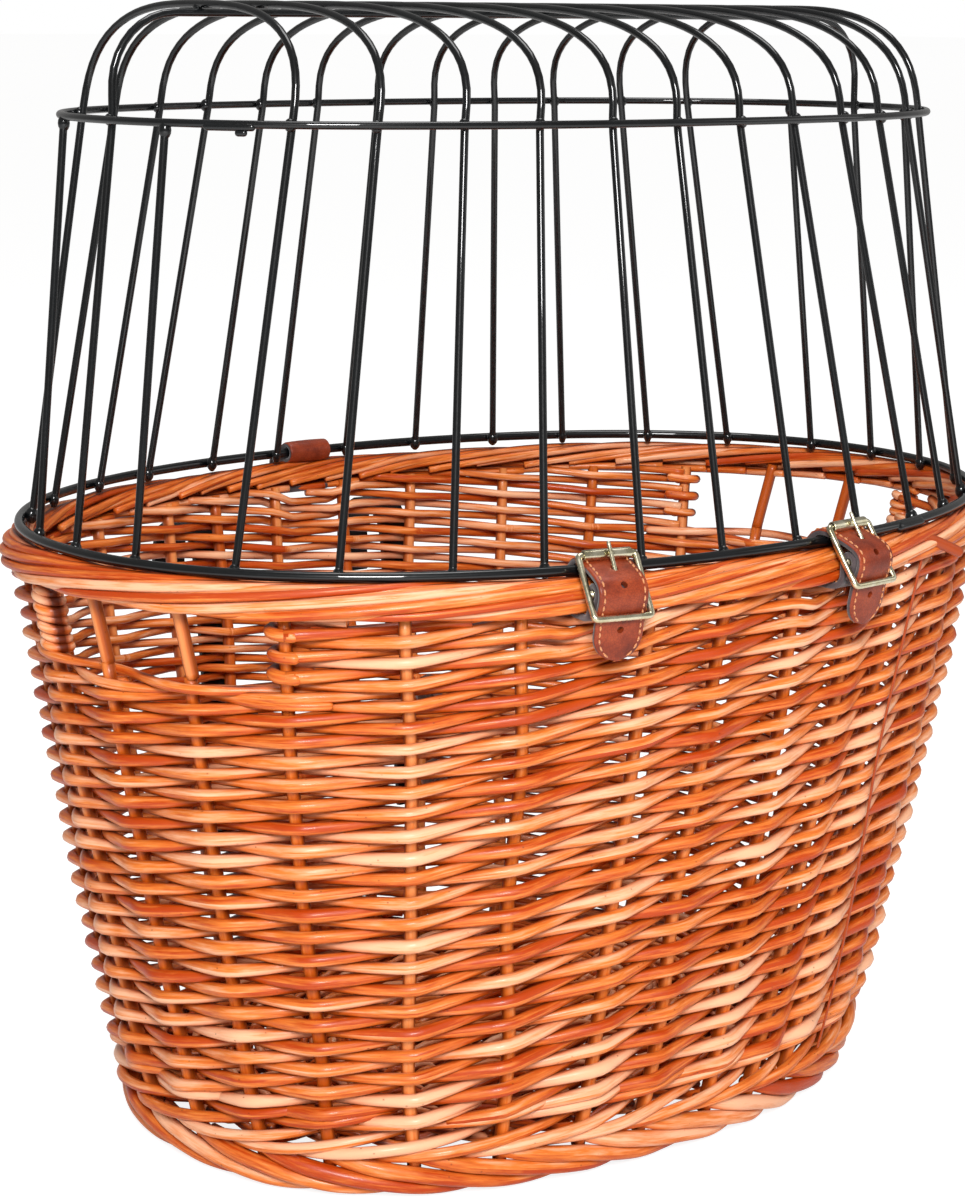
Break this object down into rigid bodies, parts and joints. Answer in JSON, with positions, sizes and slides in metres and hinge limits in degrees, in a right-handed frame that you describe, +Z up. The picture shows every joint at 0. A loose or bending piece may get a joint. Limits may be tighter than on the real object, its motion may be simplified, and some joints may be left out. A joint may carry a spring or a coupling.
{
  "type": "dog bicycle basket",
  "caption": "Oval flared wicker bicycle basket for a small dog, with a hinged wire cage lid, two buckled leather straps, hand windows in both ends and handlebar hooks",
  "frame": {"origin": "on the ground under the middle of the bounding box", "axes": "+X along the basket's length, -Y the buckled front, +Y the hooked and hinged back, +Z up"},
  "size_m": [0.4466, 0.3622, 0.4585],
  "materials": {
    "willow": "stained orange-brown with a glossy varnish",
    "cage_wire": "gloss black coating",
    "leather": "smooth red-brown with stitched edges",
    "buckle_brass": "pale polished",
    "hook_steel": "satin black coating",
    "bolt_steel": "zinc plated"
  },
  "bodies": {
    "basket": {"foot_border": "willow", "waling_band": "willow", "basket_floor": "willow", "basket_wall": "willow", "rim_border": "willow", "window_stake_left_1": "willow", "window_stake_left_2": "willow", "window_stake_right_1": "willow", "window_stake_right_2": "willow", "hinge_strap": "leather", "buckle_strap_left": "leather", "buckle_strap_right": "leather", "handlebar_hook_left": "hook_steel", "handlebar_hook_right": "hook_steel", "hook_bolt_left_1": "bolt_steel", "hook_bolt_left_2": "bolt_steel", "hook_bolt_right_1": "bolt_steel", "hook_bolt_right_2": "bolt_steel", "hook_washer_left_1": "bolt_steel", "hook_washer_left_2": "bolt_steel", "hook_washer_right_1": "bolt_steel", "hook_washer_right_2": "bolt_steel", "hook_nut_left_1": "bolt_steel", "hook_nut_left_2": "bolt_steel", "hook_nut_right_1": "bolt_steel", "hook_nut_right_2": "bolt_steel"},
    "cage": {"base_ring": "cage_wire", "upper_ring": "cage_wire", "hoop_01": "cage_wire", "hoop_02": "cage_wire", "hoop_03": "cage_wire", "hoop_04": "cage_wire", "hoop_05": "cage_wire", "hoop_06": "cage_wire", "hoop_07": "cage_wire", "hoop_08": "cage_wire", "hoop_09": "cage_wire", "hoop_10": "cage_wire", "hoop_11": "cage_wire", "hoop_12": "cage_wire", "ridge_wire": "cage_wire", "end_bar_left_front": "cage_wire", "end_bar_left_back": "cage_wire", "end_bar_right_front": "cage_wire", "end_bar_right_back": "cage_wire", "strap_tongue_left": "leather", "strap_tongue_right": "leather"},
    "buckle_left": {"buckle_frame_left": "buckle_brass"},
    "roller_left": {"buckle_roller_left": "buckle_brass"},
    "prong_left": {"buckle_prong_left": "buckle_brass"},
    "buckle_right": {"buckle_frame_right": "buckle_brass"},
    "roller_right": {"buckle_roller_right": "buckle_brass"},
    "prong_right": {"buckle_prong_right": "buckle_brass"}
  },
  "joints": [
    {"name": "lid_hinge", "type": "hinge", "parent": "basket", "child": "cage", "pos_m": [0, 0.14417, 0.257], "axis": [-1, 0, 0], "range_deg": [0, 100], "deforming": ["strap_tongue_left", "strap_tongue_right"]},
    {"name": "buckle_left_swing", "type": "hinge", "parent": "basket", "child": "buckle_left", "pos_m": [-0.07976, -0.16615, 0.2505], "axis": [0.9737, -0.2279, 0], "range_deg": [0, 12]},
    {"name": "prong_left_swing", "type": "hinge", "parent": "buckle_left", "child": "prong_left", "pos_m": [-0.07976, -0.16615, 0.2505], "axis": [0.9737, -0.2279, 0], "range_deg": [0, 120]},
    {"name": "roller_left_spin", "type": "hinge", "parent": "buckle_left", "child": "roller_left", "pos_m": [-0.07785, -0.15797, 0.263], "axis": [0.9737, -0.2279, 0], "continuous": true},
    {"name": "buckle_right_swing", "type": "hinge", "parent": "basket", "child": "buckle_right", "pos_m": [0.0395, -0.17278, 0.2505], "axis": [0.995, 0.1, 0], "range_deg": [0, 12]},
    {"name": "prong_right_swing", "type": "hinge", "parent": "buckle_right", "child": "prong_right", "pos_m": [0.0395, -0.17278, 0.2505], "axis": [0.995, 0.1, 0], "range_deg": [0, 120]},
    {"name": "roller_right_spin", "type": "hinge", "parent": "buckle_right", "child": "roller_right", "pos_m": [0.03866, -0.16443, 0.263], "axis": [0.995, 0.1, 0], "continuous": true}
  ]
}
